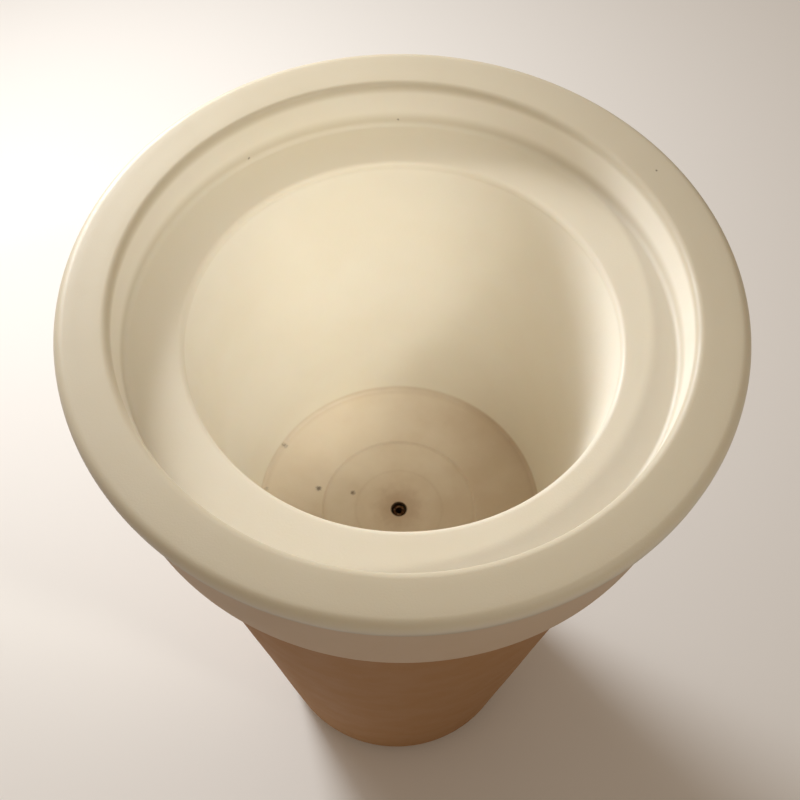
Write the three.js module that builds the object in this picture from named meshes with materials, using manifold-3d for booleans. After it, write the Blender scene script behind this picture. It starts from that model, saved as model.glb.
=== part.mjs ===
// Large bowl funnel: a deep moulded bowl with a rolled rim and a seat for a plate, standing in a
// hollow tapered stand. A steel outlet fitting is screwed into a boss under the floor of the bowl.
// Millimetres, +Z up. The origin is on the bench, on the common axis of bowl and stand.
import * as THREE from "three";
import { mergeVertices } from "three/addons/utils/BufferGeometryUtils.js";
import Module from "manifold-3d";

// ---------- driving dimensions: bowl ----------
const HEIGHT = 568; // bench to the top of the rim
const DRAFT = 0.1; // the moulded walls of the bowl lean by this slope
const RIM_RADIUS = 200;
const RIM_THICKNESS = 16;
const RIM_TOP_ROUND = 6.7;
const RIM_UNDER_ROUND = 8.6;
const MOUTH_RADIUS = 168.5;
const MOUTH_ROUND = 5;
const SEAT_DEPTH = 33; // rim top down to the ledge
const SEAT_INNER_RADIUS = 130.6;
const SEAT_ROUND = 4.2;
const FLOOR_DEPTH = 275; // rim top down to the floor
const FLOOR_RING_RADIUS = 58.5; // edge of the shallow sump round the outlet
const SUMP_DEPTH = 1.5;
const LIP_DEPTH = 8; // ring under the rim that centres the bowl in the stand's collar
const LIP_WALL = 4;
const LIP_CLEARANCE = 0.7;
const BOWL_WALL = 7;
const LEDGE_WALL = 8;
const FLOOR_WALL = 9;
const FLOOR_ROUND = 3;
const SEAT_OUTER_ROUND = 4;
const UNDERSIDE_ROUND = 6;

// ---------- driving dimensions: stand ----------
const STAND_FOOT_RADIUS = 104; // outer wall carried down to the bench, before its corner is rounded
const STAND_SLOPE = 0.142;
const STAND_WALL = 5;
const STAND_CORNER = 22;
const COLLAR_DEPTH = 95; // rim top down to the lower edge of the collar
const COLLAR_FOOT_RADIUS = 184.4;
const COLLAR_ROUND = 1.2;
const STAND_OPENING_RADIUS = 58; // hole in the inturned foot
const STAND_TOP_ROUND = 1.5;

// ---------- driving dimensions: outlet ----------
const OUTLET_MOUTH_RADIUS = 5.7;
const OUTLET_MOUTH_DEPTH = 6; // wide mouth above the tapped part of the hole
const BOSS_RADIUS = 18;
const BOSS_LENGTH = 14;
const BORE_RADIUS = 2.5;
const STEM_RADIUS = 4.86; // G 1/8 thread
const STEM_SETBACK = 2.2; // the stem ends this far below the sump
const GASKET_RADIUS = 9;
const GASKET_THICKNESS = 2;
const HEX_ACROSS_FLATS = 17;
const HEX_HEIGHT = 7;
const NECK_RADIUS = 4.4;
const NECK_LENGTH = 3; // plain neck between the hexagon and the first barb
const BARB_RADIUS = 5.3;
const BARB_LENGTH = 8;
const BARB_COUNT = 3;
const BARB_LAND = 0.5; // plain neck left at the foot of each barb

const GAP = 0.3; // between pieces that touch

// ---------- fineness of the round shapes ----------
const LARGE_SEGMENTS = 48;
const SMALL_SEGMENTS = 32;
const ARC_STEPS = 3;
const SAME_POINT = 1e-4;

// ---------- levels and radii worked out from them ----------
const SEAT_Z = HEIGHT - SEAT_DEPTH;
const FLOOR_Z = HEIGHT - FLOOR_DEPTH;
const SUMP_Z = FLOOR_Z - SUMP_DEPTH;
const FLANGE_Z = HEIGHT - RIM_THICKNESS;
const COLLAR_Z = HEIGHT - COLLAR_DEPTH;
const LIP_Z = FLANGE_Z - LIP_DEPTH;
const FLOOR_UNDER_Z = FLOOR_Z - FLOOR_WALL;
const BOSS_Z = FLOOR_UNDER_Z - BOSS_LENGTH;
const HEX_TOP = BOSS_Z - GASKET_THICKNESS - 2 * GAP;
const HEX_FOOT = HEX_TOP - HEX_HEIGHT;
const SEAT_RADIUS = MOUTH_RADIUS - DRAFT * SEAT_DEPTH;
const THROAT_RADIUS = MOUTH_RADIUS - DRAFT * RIM_THICKNESS;
const FLOOR_RADIUS = SEAT_INNER_RADIUS - DRAFT * (FLOOR_DEPTH - SEAT_DEPTH);
const standRadius = (z) => STAND_FOOT_RADIUS + STAND_SLOPE * z;
const collarRadius = (z) => COLLAR_FOOT_RADIUS + DRAFT * (z - COLLAR_Z);
const LIP_RADIUS = collarRadius(LIP_Z) - STAND_WALL - LIP_CLEARANCE;

const wasm = await Module();
wasm.setup();

// ---------- shape helpers ----------

// Closed outline from corners [radius, height, rounding]. A rounded corner becomes a short arc.
function roundedOutline(corners) {
  return corners.flatMap(([r, z, rounding], i) => {
    const corner = new THREE.Vector2(r, z);
    if (!rounding) return [corner];
    const [beforeR, beforeZ] = corners[(i + corners.length - 1) % corners.length];
    const [afterR, afterZ] = corners[(i + 1) % corners.length];
    const back = new THREE.Vector2(beforeR, beforeZ).sub(corner).normalize();
    const ahead = new THREE.Vector2(afterR, afterZ).sub(corner).normalize();
    const inwards = back.clone().add(ahead).normalize();
    const half = Math.acos(back.dot(ahead)) / 2;
    const centre = corner.clone().addScaledVector(inwards, rounding / Math.sin(half));
    const start = corner.clone().addScaledVector(back, rounding / Math.tan(half)).sub(centre);
    const turn = -Math.sign(start.cross(inwards)) * (Math.PI - 2 * half);
    const origin = new THREE.Vector2();
    return Array.from({ length: ARC_STEPS + 1 }, (_, k) =>
      start.clone().rotateAround(origin, (turn * k) / ARC_STEPS).add(centre),
    );
  });
}

// Solid of revolution about Z. Its corners run clockwise, with radius to the right and Z up.
function turned(corners, segments) {
  const outline = roundedOutline(corners).reverse();
  return new THREE.LatheGeometry([...outline, outline[0].clone()], segments).rotateX(Math.PI / 2);
}

// Geometry to a manifold-3d solid and back, for cuts and joins.
function solid(geometry) {
  const bare = geometry.clone();
  bare.deleteAttribute("normal");
  bare.deleteAttribute("uv");
  const merged = mergeVertices(bare, SAME_POINT);
  return new wasm.Manifold(
    new wasm.Mesh({
      numProp: 3,
      vertProperties: merged.attributes.position.array,
      triVerts: new Uint32Array(merged.index.array),
    }),
  );
}

function geometryOf(body) {
  const mesh = body.getMesh();
  return new THREE.BufferGeometry()
    .setAttribute("position", new THREE.BufferAttribute(mesh.vertProperties, 3))
    .setIndex(new THREE.BufferAttribute(mesh.triVerts, 1));
}

// ---------- pieces ----------

// One moulding: rolled rim, plate seat, tapered cavity, floor with a shallow sump, and an outlet
// boss below it. The rim rests on the stand's collar, and the lip under it keeps the bowl central.
function bowlGeometry() {
  const corners = [
    [MOUTH_RADIUS, HEIGHT, MOUTH_ROUND],
    [RIM_RADIUS, HEIGHT, RIM_TOP_ROUND],
    [RIM_RADIUS, FLANGE_Z, RIM_UNDER_ROUND],
    [LIP_RADIUS, FLANGE_Z],
    [LIP_RADIUS, LIP_Z],
    [LIP_RADIUS - LIP_WALL, LIP_Z],
    [LIP_RADIUS - LIP_WALL, FLANGE_Z],
    [THROAT_RADIUS + BOWL_WALL, FLANGE_Z],
    [SEAT_RADIUS + BOWL_WALL, SEAT_Z - LEDGE_WALL, UNDERSIDE_ROUND],
    [SEAT_INNER_RADIUS + BOWL_WALL, SEAT_Z - LEDGE_WALL],
    [FLOOR_RADIUS + BOWL_WALL, FLOOR_UNDER_Z, UNDERSIDE_ROUND],
    [BOSS_RADIUS, FLOOR_UNDER_Z],
    [BOSS_RADIUS, BOSS_Z],
    [STEM_RADIUS + GAP, BOSS_Z],
    [STEM_RADIUS + GAP, SUMP_Z - OUTLET_MOUTH_DEPTH],
    [OUTLET_MOUTH_RADIUS, SUMP_Z - OUTLET_MOUTH_DEPTH],
    [OUTLET_MOUTH_RADIUS, SUMP_Z],
    [FLOOR_RING_RADIUS - SUMP_DEPTH, SUMP_Z],
    [FLOOR_RING_RADIUS, FLOOR_Z],
    [FLOOR_RADIUS, FLOOR_Z, FLOOR_ROUND],
    [SEAT_INNER_RADIUS, SEAT_Z, SEAT_ROUND],
    [SEAT_RADIUS, SEAT_Z, SEAT_OUTER_ROUND],
  ];
  return turned(corners, LARGE_SEGMENTS);
}

// Tapered shell with a wider collar that carries the bowl. It is open at the top, and at its
// inturned foot for what drains away. The wall keeps its thickness round the collar's shoulder.
function standGeometry() {
  const top = FLANGE_Z - GAP;
  const shoulder = COLLAR_Z + STAND_WALL;
  const corners = [
    [collarRadius(top), top, STAND_TOP_ROUND],
    [COLLAR_FOOT_RADIUS, COLLAR_Z, COLLAR_ROUND],
    [standRadius(COLLAR_Z), COLLAR_Z],
    [STAND_FOOT_RADIUS, 0, STAND_CORNER],
    [STAND_OPENING_RADIUS, 0],
    [STAND_OPENING_RADIUS, STAND_WALL],
    [standRadius(STAND_WALL) - STAND_WALL, STAND_WALL, STAND_CORNER - STAND_WALL],
    [standRadius(shoulder) - STAND_WALL, shoulder],
    [collarRadius(shoulder) - STAND_WALL, shoulder],
    [collarRadius(top) - STAND_WALL, top, STAND_TOP_ROUND],
  ];
  return turned(corners, LARGE_SEGMENTS);
}

function gasketGeometry() {
  const low = HEX_TOP + GAP;
  const high = BOSS_Z - GAP;
  const inner = STEM_RADIUS + GAP;
  const corners = [[inner, low], [inner, high], [GASKET_RADIUS, high], [GASKET_RADIUS, low]];
  return turned(corners, SMALL_SEGMENTS);
}

// Threaded stem, hexagon and hose barb in one piece, with a straight bore.
function fittingGeometry() {
  const barbs = Array.from({ length: BARB_COUNT }, (_, i) => {
    const top = HEX_FOOT - NECK_LENGTH - i * BARB_LENGTH;
    const low = top - BARB_LENGTH + BARB_LAND;
    return [[NECK_RADIUS, top], [BARB_RADIUS, top], [NECK_RADIUS, low]];
  }).flat();
  const foot = barbs.at(-1)[1];
  const stemTop = SUMP_Z - STEM_SETBACK;
  const hexMiddle = (HEX_TOP + HEX_FOOT) / 2;
  const corners = [
    [BORE_RADIUS, stemTop],
    [STEM_RADIUS, stemTop],
    [STEM_RADIUS, hexMiddle],
    [NECK_RADIUS, hexMiddle],
    ...barbs,
    [BORE_RADIUS, foot],
  ];
  const upright = (radius, height, sides) =>
    new THREE.CylinderGeometry(radius, radius, height, sides)
      .rotateX(Math.PI / 2)
      .translate(0, 0, hexMiddle);
  const hexagon = solid(upright(HEX_ACROSS_FLATS / Math.sqrt(3), HEX_HEIGHT, 6));
  const hole = solid(upright((BORE_RADIUS + NECK_RADIUS) / 2, 2 * HEX_HEIGHT, SMALL_SEGMENTS));
  const turning = solid(turned(corners, SMALL_SEGMENTS));
  return geometryOf(hexagon.subtract(hole).add(turning));
}

// ---------- materials ----------
const cream = new THREE.MeshStandardMaterial({ color: 0xe3d8c0, roughness: 0.5, metalness: 0 });
const steel = new THREE.MeshStandardMaterial({ color: 0x8a7460, roughness: 0.5, metalness: 1 });
const rubber = new THREE.MeshStandardMaterial({ color: 0x2b2723, roughness: 0.8, metalness: 0 });

// ---------- assembly ----------
const funnel = new THREE.Group();

function addPiece(name, geometry, material) {
  const mesh = new THREE.Mesh(geometry, material);
  mesh.name = name;
  funnel.add(mesh);
}

addPiece("funnel_bowl", bowlGeometry(), cream);
addPiece("stand_shell", standGeometry(), cream);
addPiece("outlet_gasket", gasketGeometry(), rubber);
addPiece("outlet_fitting", fittingGeometry(), steel);

export default funnel;
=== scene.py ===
# Looks for a large bowl funnel that stands in a hollow tapered stand. Metres, +Z up.
# Each CAD node is replaced by a finer turned piece of the same size, with its own material. The
# fitting's hexagon is a piece of its own.
import math

import bpy
from mathutils import Matrix, Vector, noise


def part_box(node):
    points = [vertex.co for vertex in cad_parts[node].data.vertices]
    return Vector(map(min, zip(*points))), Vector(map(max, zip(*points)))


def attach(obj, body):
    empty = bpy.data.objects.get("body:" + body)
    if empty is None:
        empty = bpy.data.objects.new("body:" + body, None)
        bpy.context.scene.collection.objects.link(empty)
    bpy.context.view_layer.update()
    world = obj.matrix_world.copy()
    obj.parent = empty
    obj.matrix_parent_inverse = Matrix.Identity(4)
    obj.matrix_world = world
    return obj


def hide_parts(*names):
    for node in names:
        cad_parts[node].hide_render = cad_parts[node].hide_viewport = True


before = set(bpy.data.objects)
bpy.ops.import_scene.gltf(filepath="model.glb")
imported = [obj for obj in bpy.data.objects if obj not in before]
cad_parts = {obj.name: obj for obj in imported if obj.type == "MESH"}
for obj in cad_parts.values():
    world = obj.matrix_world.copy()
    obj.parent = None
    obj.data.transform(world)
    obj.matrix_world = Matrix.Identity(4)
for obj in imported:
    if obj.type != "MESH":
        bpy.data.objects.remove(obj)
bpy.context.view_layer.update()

# ---------- sizes, from the frame ----------
BOWL_LOW, BOWL_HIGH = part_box("funnel_bowl")
STAND_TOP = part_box("stand_shell")[1].z
GASKET_LOW, GASKET_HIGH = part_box("outlet_gasket")
FITTING_LOW, FITTING_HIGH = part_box("outlet_fitting")
HEIGHT = BOWL_HIGH.z
RIM_RADIUS = BOWL_HIGH.x
BOSS_Z = BOWL_LOW.z
STEM_TOP = FITTING_HIGH.z
BARB_FOOT = FITTING_LOW.z

# ---------- sizes of the bowl, as in the CAD source ----------
DRAFT = 0.1
RIM_THICKNESS = 0.016
MOUTH_RADIUS = 0.1685
SEAT_DEPTH = 0.033
SEAT_INNER_RADIUS = 0.1306
FLOOR_DEPTH = 0.275
FLOOR_RING_RADIUS = 0.0585
SUMP_DEPTH = 0.0015
WALL = 0.007
LEDGE_WALL = 0.008
FLOOR_WALL = 0.009
BOSS_RADIUS = 0.018
LIP_DEPTH = 0.008
LIP_WALL = 0.004
LIP_CLEARANCE = 0.0007
OUTLET_MOUTH_RADIUS = 0.0057
OUTLET_MOUTH_DEPTH = 0.006
GAP = 0.0003

# ---------- sizes of the stand and fitting, as in the CAD source ----------
STAND_FOOT_RADIUS = 0.104
STAND_SLOPE = 0.142
STAND_WALL = 0.005
STAND_CORNER = 0.022
STAND_OPENING_RADIUS = 0.058
COLLAR_DEPTH = 0.095
COLLAR_FOOT_RADIUS = 0.1844
BORE_RADIUS = 0.0025
STEM_RADIUS = 0.00486
HEX_ACROSS_FLATS = 0.017
HEX_HEIGHT = 0.007
NECK_RADIUS = 0.0044
BARB_RADIUS = 0.0053
BARB_LENGTH = 0.008
BARB_COUNT = 3
THREAD_PITCH = 0.000907

# ---------- roundings of the bowl and stand ----------
MOUTH_ROUND = 0.005
RIM_UPPER_ROUND = 0.0067
RIM_LOWER_ROUND = 0.0086
SEAT_INNER_ROUND = 0.0042
SEAT_OUTER_ROUND = 0.004
FLOOR_ROUND = 0.003
UNDER_WALL_ROUND = 0.006
UNDERSIDE_ROUND = 0.002
FINE_ROUND = 0.0006
SUMP_ROUND = 0.001
OUTLET_ROUND = 0.0004
HOLE_ROUND = 0.0001
COLLAR_TOP_ROUND = 0.0015
COLLAR_FOOT_ROUND = 0.0012
STAND_EDGE_ROUND = 0.001

# ---------- fineness and unevenness of the surfaces ----------
LARGE_SEGMENTS = 256
SMALL_SEGMENTS = 96
ARC_STEPS = 8
BOWL_STEP = 0.006
STAND_STEP = 0.01
BOWL_RIPPLE = 0.00025
STAND_RIPPLE = 0.0003
RIPPLES_PER_METRE = 9

# ---------- levels and radii worked out from them ----------
SEAT_Z = HEIGHT - SEAT_DEPTH
FLOOR_Z = HEIGHT - FLOOR_DEPTH
SUMP_Z = FLOOR_Z - SUMP_DEPTH
FLANGE_Z = HEIGHT - RIM_THICKNESS
UNDER_Z = FLOOR_Z - FLOOR_WALL
LIP_Z = FLANGE_Z - LIP_DEPTH
COLLAR_Z = HEIGHT - COLLAR_DEPTH
HEX_TOP = GASKET_LOW.z - GAP
HEX_FOOT = HEX_TOP - HEX_HEIGHT
SEAT_RADIUS = MOUTH_RADIUS - DRAFT * SEAT_DEPTH
FLOOR_RADIUS = SEAT_INNER_RADIUS - DRAFT * (FLOOR_DEPTH - SEAT_DEPTH)


def stand_radius(z):
    return STAND_FOOT_RADIUS + STAND_SLOPE * z


def collar_radius(z):
    return COLLAR_FOOT_RADIUS + DRAFT * (z - COLLAR_Z)


LIP_RADIUS = collar_radius(LIP_Z) - STAND_WALL - LIP_CLEARANCE

# ---------- camera, from how the photograph was taken ----------
CAMERA_DISTANCE = 0.4182  # level distance from the object's axis
CAMERA_ABOVE_RIM = 0.5868
CAMERA_PITCH = math.radians(59.17)  # looking down
CAMERA_YAW = math.radians(-0.1)
CAMERA_ROLL = math.radians(1.07)
CAMERA_LENS = 56.25
SENSOR_WIDTH = 36


# ---------- shape helpers ----------
def arc_corner(before, corner, after, radius, steps):
    """Points of the arc that rounds a corner between two neighbours."""
    back = (before - corner).normalized()
    ahead = (after - corner).normalized()
    half = back.angle(ahead) / 2
    inwards = (back + ahead).normalized()
    centre = corner + inwards * (radius / math.sin(half))
    start = corner + back * (radius / math.tan(half)) - centre
    cross = start.x * inwards.y - start.y * inwards.x
    turn = -math.copysign(math.pi - 2 * half, cross)
    points = []
    for k in range(steps + 1):
        angle = turn * k / steps
        cos, sin = math.cos(angle), math.sin(angle)
        points.append(centre + Vector((start.x * cos - start.y * sin, start.x * sin + start.y * cos)))
    return points


def rounded_outline(corners, steps=ARC_STEPS):
    """Closed outline from corners (radius, height, rounding). They run clockwise, radius to the right."""
    places = [Vector(c[:2]) for c in corners]
    outline = []
    for i, (r, z, rounding) in enumerate(corners):
        after = places[(i + 1) % len(places)]
        outline += arc_corner(places[i - 1], places[i], after, rounding, steps)
    return outline


def split_long(outline, longest):
    """The outline with extra points on its long stretches, so that the surface can ripple."""
    points = []
    for i, start in enumerate(outline):
        end = outline[(i + 1) % len(outline)]
        count = max(1, math.ceil((end - start).length / longest))
        points += [start.lerp(end, k / count) for k in range(count)]
    return points


def turned(name, outline, segments, ripple=0.0):
    """Smooth solid of revolution about Z. ripple is how far its surface may wander, in metres."""
    vertices = []
    for i in range(segments):
        angle = 2 * math.pi * i / segments
        for p in outline:
            place = Vector((p.x * math.cos(angle), p.x * math.sin(angle), p.y))
            wander = ripple * noise.noise(place * RIPPLES_PER_METRE)
            vertices.append((
                (p.x + wander) * math.cos(angle),
                (p.x + wander) * math.sin(angle),
                p.y,
            ))
    count = len(outline)
    faces = []
    for i in range(segments):
        here, there = i * count, (i + 1) % segments * count
        for k in range(count):
            after = (k + 1) % count
            faces.append((here + k, here + after, there + after, there + k))
    mesh = bpy.data.meshes.new(name)
    mesh.from_pydata(vertices, [], faces)
    mesh.update()
    mesh.shade_smooth()
    piece = bpy.data.objects.new(name, mesh)
    bpy.context.scene.collection.objects.link(piece)
    return piece


# ---------- pieces ----------
def make_bowl():
    lip_inner = LIP_RADIUS - LIP_WALL
    throat = MOUTH_RADIUS - DRAFT * RIM_THICKNESS + WALL
    corners = [
        (MOUTH_RADIUS, HEIGHT, MOUTH_ROUND),
        (RIM_RADIUS, HEIGHT, RIM_UPPER_ROUND),
        (RIM_RADIUS, FLANGE_Z, RIM_LOWER_ROUND),
        (LIP_RADIUS, FLANGE_Z, FINE_ROUND),
        (LIP_RADIUS, LIP_Z, FINE_ROUND),
        (lip_inner, LIP_Z, FINE_ROUND),
        (lip_inner, FLANGE_Z, FINE_ROUND),
        (throat, FLANGE_Z, UNDERSIDE_ROUND),
        (SEAT_RADIUS + WALL, SEAT_Z - LEDGE_WALL, UNDER_WALL_ROUND),
        (SEAT_INNER_RADIUS + WALL, SEAT_Z - LEDGE_WALL, UNDERSIDE_ROUND),
        (FLOOR_RADIUS + WALL, UNDER_Z, UNDER_WALL_ROUND),
        (BOSS_RADIUS, UNDER_Z, UNDERSIDE_ROUND),
        (BOSS_RADIUS, BOSS_Z, FINE_ROUND),
        (STEM_RADIUS + GAP, BOSS_Z, HOLE_ROUND),
        (STEM_RADIUS + GAP, SUMP_Z - OUTLET_MOUTH_DEPTH, HOLE_ROUND),
        (OUTLET_MOUTH_RADIUS, SUMP_Z - OUTLET_MOUTH_DEPTH, HOLE_ROUND),
        (OUTLET_MOUTH_RADIUS, SUMP_Z, OUTLET_ROUND),
        (FLOOR_RING_RADIUS - SUMP_DEPTH, SUMP_Z, SUMP_ROUND),
        (FLOOR_RING_RADIUS, FLOOR_Z, SUMP_ROUND),
        (FLOOR_RADIUS, FLOOR_Z, FLOOR_ROUND),
        (SEAT_INNER_RADIUS, SEAT_Z, SEAT_INNER_ROUND),
        (SEAT_RADIUS, SEAT_Z, SEAT_OUTER_ROUND),
    ]
    outline = split_long(rounded_outline(corners), BOWL_STEP)
    return turned("bowl", outline, LARGE_SEGMENTS, ripple=BOWL_RIPPLE)


def make_stand():
    shoulder = COLLAR_Z + STAND_WALL
    corners = [
        (collar_radius(STAND_TOP), STAND_TOP, COLLAR_TOP_ROUND),
        (COLLAR_FOOT_RADIUS, COLLAR_Z, COLLAR_FOOT_ROUND),
        (stand_radius(COLLAR_Z), COLLAR_Z, STAND_EDGE_ROUND),
        (STAND_FOOT_RADIUS, 0, STAND_CORNER),
        (STAND_OPENING_RADIUS, 0, STAND_EDGE_ROUND),
        (STAND_OPENING_RADIUS, STAND_WALL, STAND_EDGE_ROUND),
        (stand_radius(STAND_WALL) - STAND_WALL, STAND_WALL, STAND_CORNER - STAND_WALL),
        (stand_radius(shoulder) - STAND_WALL, shoulder, STAND_EDGE_ROUND),
        (collar_radius(shoulder) - STAND_WALL, shoulder, STAND_EDGE_ROUND),
        (collar_radius(STAND_TOP) - STAND_WALL, STAND_TOP, COLLAR_TOP_ROUND),
    ]
    outline = split_long(rounded_outline(corners), STAND_STEP)
    return turned("stand", outline, LARGE_SEGMENTS, ripple=STAND_RIPPLE)


def make_gasket():
    edge = 0.0003
    inner = STEM_RADIUS + GAP
    corners = [
        (inner, GASKET_LOW.z, edge),
        (inner, GASKET_HIGH.z, edge),
        (GASKET_HIGH.x, GASKET_HIGH.z, edge),
        (GASKET_HIGH.x, GASKET_LOW.z, edge),
    ]
    return turned("gasket", rounded_outline(corners, ARC_STEPS // 2), SMALL_SEGMENTS)


def thread_outline():
    """Ridges of the stem's thread, from the top down to the shoulder on the hexagon."""
    depth = 0.00045
    plain_end = 0.001
    ridges = []
    z = STEM_TOP - plain_end
    while z - THREAD_PITCH > HEX_TOP + plain_end:
        ridges.append(Vector((STEM_RADIUS - depth, z)))
        ridges.append(Vector((STEM_RADIUS, z - THREAD_PITCH / 2)))
        z -= THREAD_PITCH
    return ridges


def barb_outline():
    """The hose barbs, from the hexagon down to the foot."""
    neck_length = 0.003
    barb_land = 0.0005
    edge = 0.0002
    points = []
    for i in range(BARB_COUNT):
        top = HEX_FOOT - neck_length - i * BARB_LENGTH
        foot = max(top - BARB_LENGTH + barb_land, BARB_FOOT)
        points.append(Vector((NECK_RADIUS, top)))
        points.append(Vector((BARB_RADIUS, top - edge)))
        points.append(Vector((NECK_RADIUS, foot)))
    return points


def make_fitting():
    """The fitting's turned part. Inside the hexagon it narrows to the neck."""
    bore_chamfer = 0.0003
    tip_chamfer = 0.0006
    inside_hexagon = 0.001
    points = [
        Vector((BORE_RADIUS, STEM_TOP - bore_chamfer)),
        Vector((BORE_RADIUS + bore_chamfer, STEM_TOP)),
        Vector((STEM_RADIUS - tip_chamfer, STEM_TOP)),
        Vector((STEM_RADIUS - tip_chamfer / 3, STEM_TOP - tip_chamfer * 5 / 6)),
    ]
    points += thread_outline()
    points.append(Vector((NECK_RADIUS, HEX_TOP - inside_hexagon)))
    points.append(Vector((NECK_RADIUS, HEX_FOOT + inside_hexagon)))
    points += barb_outline()
    points.append(Vector((BORE_RADIUS, BARB_FOOT)))
    return turned("fitting", points, SMALL_SEGMENTS)


def make_hexagon():
    """The fitting's hexagon, with both ends chamfered round, and a hole that the turned part fills."""
    corner = HEX_ACROSS_FLATS / math.sqrt(3)
    chamfer = 0.0009
    edge_inset = 0.0002
    overlap = 0.0002
    sides = SMALL_SEGMENTS
    rings = []
    for z, share in ((HEX_FOOT, 0), (HEX_FOOT + chamfer, 1), (HEX_TOP - chamfer, 1), (HEX_TOP, 0)):
        ring = []
        for i in range(sides):
            angle = 2 * math.pi * i / sides
            within = (angle + math.pi / 2) % (math.pi / 3) - math.pi / 6
            flat = HEX_ACROSS_FLATS / 2 / math.cos(within)
            round_edge = HEX_ACROSS_FLATS / 2 - edge_inset
            r = min(flat, corner) if share else min(flat, round_edge)
            ring.append((r * math.cos(angle), r * math.sin(angle), z))
        rings.append(ring)
    inner = NECK_RADIUS - overlap
    for z in (HEX_TOP, HEX_FOOT):
        turn = [2 * math.pi * i / sides for i in range(sides)]
        rings.append([(inner * math.cos(a), inner * math.sin(a), z) for a in turn])
    faces = []
    for k in range(len(rings)):
        low, high = k * sides, (k + 1) % len(rings) * sides
        for i in range(sides):
            j = (i + 1) % sides
            faces.append((low + i, low + j, high + j, high + i))
    mesh = bpy.data.meshes.new("fitting_hexagon")
    mesh.from_pydata([v for ring in rings for v in ring], [], faces)
    mesh.update()
    piece = bpy.data.objects.new("fitting_hexagon", mesh)
    bpy.context.scene.collection.objects.link(piece)
    return piece


# ---------- materials ----------
class Nodes:
    """Short ways to add and join shader nodes of one material."""

    def __init__(self, name):
        self.material = bpy.data.materials.new(name)
        self.material.use_nodes = True
        self.tree = self.material.node_tree
        self.shader = self.tree.nodes["Principled BSDF"]
        self.place = self.add("ShaderNodeTexCoord").outputs["Object"]

    def add(self, kind, **settings):
        node = self.tree.nodes.new(kind)
        for key, value in settings.items():
            setattr(node, key, value)
        return node

    def link(self, source, target):
        self.tree.links.new(source, target)

    def noise(self, scale, detail=4.0, roughness=0.55, place=None):
        node = self.add("ShaderNodeTexNoise")
        node.inputs["Scale"].default_value = scale
        node.inputs["Detail"].default_value = detail
        node.inputs["Roughness"].default_value = roughness
        self.link(place or self.place, node.inputs["Vector"])
        return node.outputs["Fac"]

    def ramp(self, value, low, high, to_low=0.0, to_high=1.0):
        node = self.add("ShaderNodeMapRange", interpolation_type="SMOOTHSTEP")
        node.inputs["From Min"].default_value = low
        node.inputs["From Max"].default_value = high
        node.inputs["To Min"].default_value = to_low
        node.inputs["To Max"].default_value = to_high
        self.link(value, node.inputs["Value"])
        return node.outputs["Result"]

    def math(self, operation, a, b):
        node = self.add("ShaderNodeMath", operation=operation)
        for socket, value in zip(node.inputs, (a, b)):
            if isinstance(value, (int, float)):
                socket.default_value = value
            else:
                self.link(value, socket)
        return node.outputs["Value"]

    def mix(self, share, a, b):
        node = self.add("ShaderNodeMix", data_type="RGBA")
        self.link(share, node.inputs["Factor"])
        for socket, value in ((node.inputs[6], a), (node.inputs[7], b)):
            if isinstance(value, tuple):
                socket.default_value = (*value, 1)
            else:
                self.link(value, socket)
        return node.outputs[2]

    def split(self):
        node = self.add("ShaderNodeSeparateXYZ")
        self.link(self.place, node.inputs["Vector"])
        return node.outputs

    def distance_to(self, point):
        node = self.add("ShaderNodeVectorMath", operation="DISTANCE")
        node.inputs[1].default_value = point
        self.link(self.place, node.inputs[0])
        return node.outputs["Value"]

    def bump(self, height, strength, distance):
        node = self.add("ShaderNodeBump")
        node.inputs["Strength"].default_value = strength
        node.inputs["Distance"].default_value = distance
        self.link(height, node.inputs["Height"])
        self.link(node.outputs["Normal"], self.shader.inputs["Normal"])


CREAM = (0.88, 0.84, 0.75)
CREAM_MOTTLED = (0.85, 0.80, 0.69)
# Darker tone for wear and painted shade on the ledge and rim.
WORN_AND_SHADED = (0.54, 0.475, 0.35)
TAN = (0.46, 0.31, 0.17)
# Tan of the stand, dark enough to carry painted shade below the collar.
STAND_TAN_AND_SHADE = (0.35, 0.18, 0.072)
RUST = (0.28, 0.14, 0.05)
# Brown painted shade for the rim's underside and the crease under it.
UNDER_RIM_SHADE = (0.20, 0.14, 0.08)
# Near-black for dirt marks, and for grime and painted shade at the hole's edge.
GRIME_AND_SHADE_DARK = (0.05, 0.025, 0.012)
# rings on the floor: radius, width, strength
RINGS = (
    (FLOOR_RADIUS - 0.002, 0.004, 0.1),
    (FLOOR_RING_RADIUS - 0.001, 0.003, 0.05),
    (0.033, 0.002, 0.07),
)


def plastic_base(nodes, smoothest, roughest):
    """Satin cream moulded plastic: soft mottling, fine grain, and a little light under the surface."""
    shader = nodes.shader
    shader.inputs["IOR"].default_value = 1.5
    shader.inputs["Subsurface Weight"].default_value = 0.15
    shader.inputs["Subsurface Radius"].default_value = (1.0, 0.6, 0.35)
    shader.inputs["Subsurface Scale"].default_value = 0.006
    mottling = nodes.ramp(nodes.noise(7), 0.35, 0.7)
    grain = nodes.math("ADD", nodes.noise(900, 2.0), nodes.math("MULTIPLY", nodes.noise(60), 1.5))
    nodes.bump(grain, 0.12, 0.0006)
    nodes.link(nodes.ramp(nodes.noise(35), 0.3, 0.7, smoothest, roughest), shader.inputs["Roughness"])
    return nodes.mix(mottling, CREAM, CREAM_MOTTLED)


def polar(angle, radius, z):
    """A place on the object, with angle in degrees from +X."""
    turn = math.radians(angle)
    return (radius * math.cos(turn), radius * math.sin(turn), z)


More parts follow.
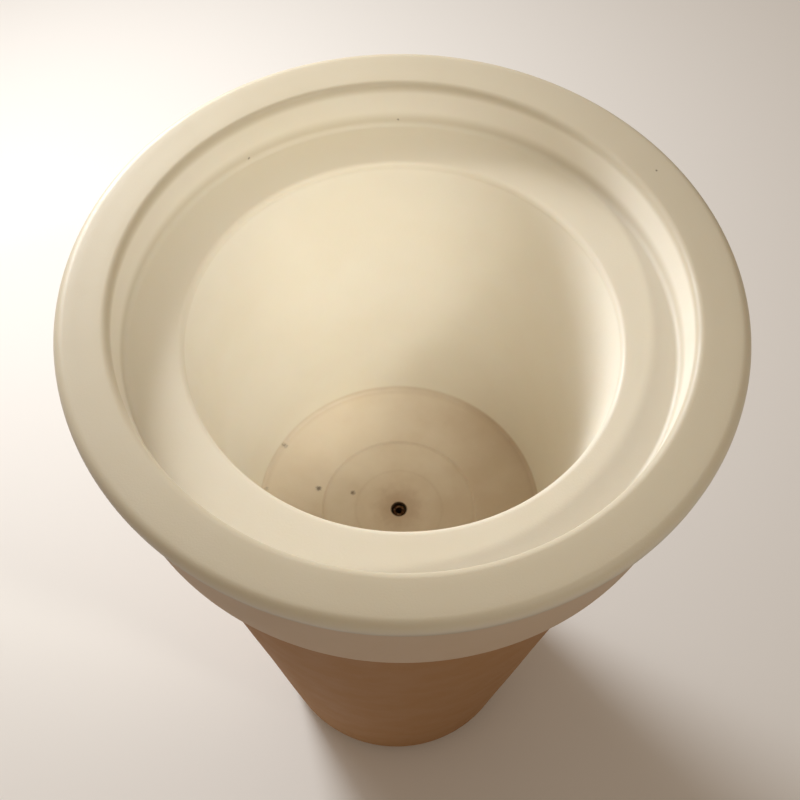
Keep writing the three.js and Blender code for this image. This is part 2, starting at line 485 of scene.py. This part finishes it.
def bowl_material():
    nodes = Nodes("bowl_plastic")
    color = plastic_base(nodes, 0.42, 0.54)
    x, y, z = nodes.split()
    squares = nodes.math("ADD", nodes.math("MULTIPLY", x, x), nodes.math("MULTIPLY", y, y))
    radius = nodes.math("SQRT", squares, 0)
    # The ledge is darkened a little and the rim more so, partly as wear and partly as painted shade.
    above_wall = nodes.ramp(z, SEAT_Z - 0.006, SEAT_Z, 0, 0.55)
    below_mouth = nodes.ramp(z, SEAT_Z + 0.003, SEAT_Z + 0.012, 1, 0)
    ledge_wear_and_shade = nodes.math("MULTIPLY", above_wall, below_mouth)
    rim_wear_and_shade = nodes.ramp(z, HEIGHT - 0.008, HEIGHT - 0.001, 0, 0.9)
    color = nodes.mix(nodes.math("ADD", ledge_wear_and_shade, rim_wear_and_shade), color, WORN_AND_SHADED)
    # Painted shade on the rim's outer edge, darker towards its underside, where the edge turns away from the
    # light.
    outside = nodes.ramp(radius, RIM_RADIUS - 0.012, RIM_RADIUS - 0.006)
    edge_shade_towards_underside = nodes.ramp(z, FLANGE_Z + 0.003, HEIGHT - 0.0005, 0.8, 0)
    color = nodes.mix(nodes.math("MULTIPLY", edge_shade_towards_underside, outside), color, UNDER_RIM_SHADE)
    # The floor is browned by a stain where water stands, and more so towards the front right as painted
    # shade, with faint rings.
    near_floor = nodes.ramp(z, FLOOR_Z + 0.001, FLOOR_Z + 0.006, 1, 0)
    inside = nodes.ramp(radius, FLOOR_RADIUS, FLOOR_RADIUS + 0.004, 1, 0)
    front_right_shade_axis = nodes.math("SUBTRACT", nodes.math("MULTIPLY", x, 0.8), nodes.math("MULTIPLY", y, 0.6))
    cloud = nodes.ramp(nodes.noise(22, 6), 0.2, 0.8, -0.06, 0.06)
    # Painted shade: the brown deepens towards the front right.
    depth = nodes.ramp(nodes.math("ADD", front_right_shade_axis, cloud), -0.11, 0.09, 0.35, 0.62)
    floor = nodes.math("MULTIPLY", nodes.math("MULTIPLY", near_floor, inside), depth)
    color = nodes.mix(floor, color, TAN)
    for ring, width, share in RINGS:
        away = nodes.math("ABSOLUTE", nodes.math("SUBTRACT", radius, ring), 0)
        line = nodes.math("MULTIPLY", nodes.ramp(away, 0, width, share, 0), near_floor)
        color = nodes.mix(line, color, RUST)
    # Rust spreads from the outlet.
    wobble = nodes.math("MULTIPLY", nodes.noise(160, 5), 0.012)
    spread = nodes.math("SUBTRACT", radius, wobble)
    halo = nodes.math("MULTIPLY", nodes.ramp(spread, OUTLET_MOUTH_RADIUS - 0.006, 0.02, 0.42, 0), near_floor)
    color = nodes.mix(halo, color, RUST)
    # Grime and painted shade darken the floor at the edge of the hole.
    hole_edge_grime_and_shade = nodes.ramp(radius, OUTLET_MOUTH_RADIUS, OUTLET_MOUTH_RADIUS + 0.0012, 0.9, 0)
    color = nodes.mix(nodes.math("MULTIPLY", hole_edge_grime_and_shade, near_floor), color, GRIME_AND_SHADE_DARK)
    # Small marks left by dirt.
    marks = (
        (polar(166, 0.064, FLOOR_Z), 0.0035),
        (polar(160, 0.038, SUMP_Z), 0.003),
        (polar(150, 0.104, FLOOR_Z + 0.002), 0.004),
        (polar(172, 0.103, FLOOR_Z + 0.002), 0.0035),
        (polar(92, 0.166, SEAT_Z + 0.004), 0.0014),
        (polar(128, 0.165, SEAT_Z + 0.003), 0.0014),
        (polar(33, 0.184, HEIGHT), 0.0012),
        (polar(-78, 0.165, SEAT_Z), 0.0009),
    )
    for place, size in marks:
        uneven = nodes.math("MULTIPLY", nodes.noise(700), size)
        away = nodes.math("ADD", nodes.distance_to(place), uneven)
        mark = nodes.ramp(away, size * 0.6, size * 1.4, 0.75, 0)
        color = nodes.mix(mark, color, GRIME_AND_SHADE_DARK)
    nodes.link(color, nodes.shader.inputs["Base Color"])
    return nodes.material


def stand_material():
    nodes = Nodes("stand_plastic")
    color = plastic_base(nodes, 0.65, 0.8)
    nodes.shader.inputs["Specular IOR Level"].default_value = 0.2
    z = nodes.split()[2]
    # The stand is tan, and darker and browner below the collar's step as painted shade.
    uneven = nodes.math("MULTIPLY", nodes.noise(12, 6), 0.03)
    tan_and_shade_by_step = nodes.ramp(nodes.math("ADD", z, uneven), COLLAR_Z - 0.01, COLLAR_Z + 0.02, 0.98, 0.58)
    color = nodes.mix(tan_and_shade_by_step, color, STAND_TAN_AND_SHADE)
    # Painted shade at the top of the collar, in the crease under the bowl's rim.
    crease_shade_under_rim = nodes.ramp(z, STAND_TOP - 0.009, STAND_TOP - 0.001, 0, 0.7)
    color = nodes.mix(crease_shade_under_rim, color, UNDER_RIM_SHADE)
    nodes.link(color, nodes.shader.inputs["Base Color"])
    return nodes.material


def steel_material():
    nodes = Nodes("fitting_steel")
    nodes.shader.inputs["Metallic"].default_value = 1
    rusted = nodes.ramp(nodes.noise(420, 6), 0.38, 0.62)
    color = nodes.mix(rusted, (0.16, 0.10, 0.06), (0.10, 0.045, 0.02))
    nodes.link(color, nodes.shader.inputs["Base Color"])
    nodes.link(nodes.ramp(rusted, 0, 1, 0.35, 0.8), nodes.shader.inputs["Roughness"])
    nodes.bump(nodes.noise(1500, 3), 0.2, 0.0002)
    return nodes.material


def rubber_material():
    nodes = Nodes("gasket_rubber")
    worn = nodes.ramp(nodes.noise(200), 0.3, 0.7)
    color = nodes.mix(worn, (0.018, 0.016, 0.014), (0.035, 0.031, 0.027))
    nodes.link(color, nodes.shader.inputs["Base Color"])
    nodes.shader.inputs["Roughness"].default_value = 0.8
    nodes.bump(nodes.noise(2500, 2), 0.15, 0.0001)
    return nodes.material


# ---------- stage ----------
STAGE_SIZE = 30
FLOOR_COLOR = (0.84, 0.82, 0.79)


def make_floor():
    bpy.ops.mesh.primitive_plane_add(size=STAGE_SIZE)
    floor = bpy.context.object
    floor.name = "floor"
    material = bpy.data.materials.new("floor_pale")
    material.use_nodes = True
    shader = material.node_tree.nodes["Principled BSDF"]
    shader.inputs["Base Color"].default_value = (*FLOOR_COLOR, 1)
    shader.inputs["Roughness"].default_value = 0.9
    floor.data.materials.append(material)


def aim(lamp, place, target):
    lamp.location = place
    lamp.rotation_euler = (Vector(target) - Vector(place)).to_track_quat("-Z", "Y").to_euler()
    bpy.context.scene.collection.objects.link(lamp)


def add_softbox(name, place, size, power, color):
    light = bpy.data.lights.new(name, "AREA")
    light.shape = "DISK"
    light.size = size
    light.energy = power
    light.color = color
    aim(bpy.data.objects.new(name, light), place, (0, 0, HEIGHT * 0.8))


def add_spot(name, place, target, radius, spread, power, color):
    light = bpy.data.lights.new(name, "SPOT")
    light.shadow_soft_size = radius
    light.spot_size = math.radians(spread)
    light.spot_blend = 0.6
    light.energy = power
    light.color = color
    aim(bpy.data.objects.new(name, light), place, target)


def make_lights():
    add_softbox("window", (-0.9, 1.0, 1.15), 0.8, 7, (0.96, 0.98, 1.0))
    add_softbox("near_window", (-0.6, 0.75, 0.9), 0.35, 10, (0.96, 0.98, 1.0))
    add_spot("into_bowl", (0.08, -0.85, 1.75), (-0.03, 0.09, 0.48), 0.07, 10, 46, (1.0, 0.97, 0.84))
    add_spot("left_wall", (0.75, -0.6, 1.75), (-0.07, 0.05, 0.45), 0.2, 11.5, 80, (1.0, 0.98, 0.88))
    add_spot("onto_floor", (0.05, -0.35, 2.1), (0, 0.02, 0.35), 0.12, 9, 6, (1.0, 0.75, 0.5))
    world = bpy.data.worlds.new("studio")
    world.use_nodes = True
    background = world.node_tree.nodes["Background"]
    background.inputs["Color"].default_value = (1.0, 0.82, 0.64, 1)
    background.inputs["Strength"].default_value = 0.36
    bpy.context.scene.world = world


def make_camera():
    cos, sin = math.cos, math.sin
    level_ahead = Vector((sin(CAMERA_YAW), cos(CAMERA_YAW), 0))
    ahead = level_ahead * cos(CAMERA_PITCH) - Vector((0, 0, sin(CAMERA_PITCH)))
    level = Vector((cos(CAMERA_YAW), -sin(CAMERA_YAW), 0))
    upright = level.cross(ahead)
    right = level * cos(CAMERA_ROLL) + upright * sin(CAMERA_ROLL)
    up = upright * cos(CAMERA_ROLL) - level * sin(CAMERA_ROLL)
    data = bpy.data.cameras.new("camera")
    data.sensor_width = SENSOR_WIDTH
    data.lens = CAMERA_LENS
    camera = bpy.data.objects.new("camera", data)
    turn = Matrix((right, up, -ahead)).transposed().to_4x4()
    camera.matrix_world = Matrix.Translation((0, -CAMERA_DISTANCE, HEIGHT + CAMERA_ABOVE_RIM)) @ turn
    bpy.context.scene.collection.objects.link(camera)
    bpy.context.scene.camera = camera


def fit_piece(piece, body, slot, material, *nodes):
    piece.data.materials.append(material)
    if nodes:
        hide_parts(*nodes)
    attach(piece, body)


make_camera()
make_lights()
make_floor()
steel = steel_material()
fit_piece(make_bowl(), "bowl", "bowl_plastic", bowl_material(), "funnel_bowl")
fit_piece(make_stand(), "stand", "stand_plastic", stand_material(), "stand_shell")
fit_piece(make_gasket(), "bowl", "gasket_rubber", rubber_material(), "outlet_gasket")
fit_piece(make_fitting(), "bowl", "fitting_steel", steel, "outlet_fitting")
fit_piece(make_hexagon(), "bowl", "fitting_steel", steel)
bpy.context.scene.view_settings.view_transform = "Standard"
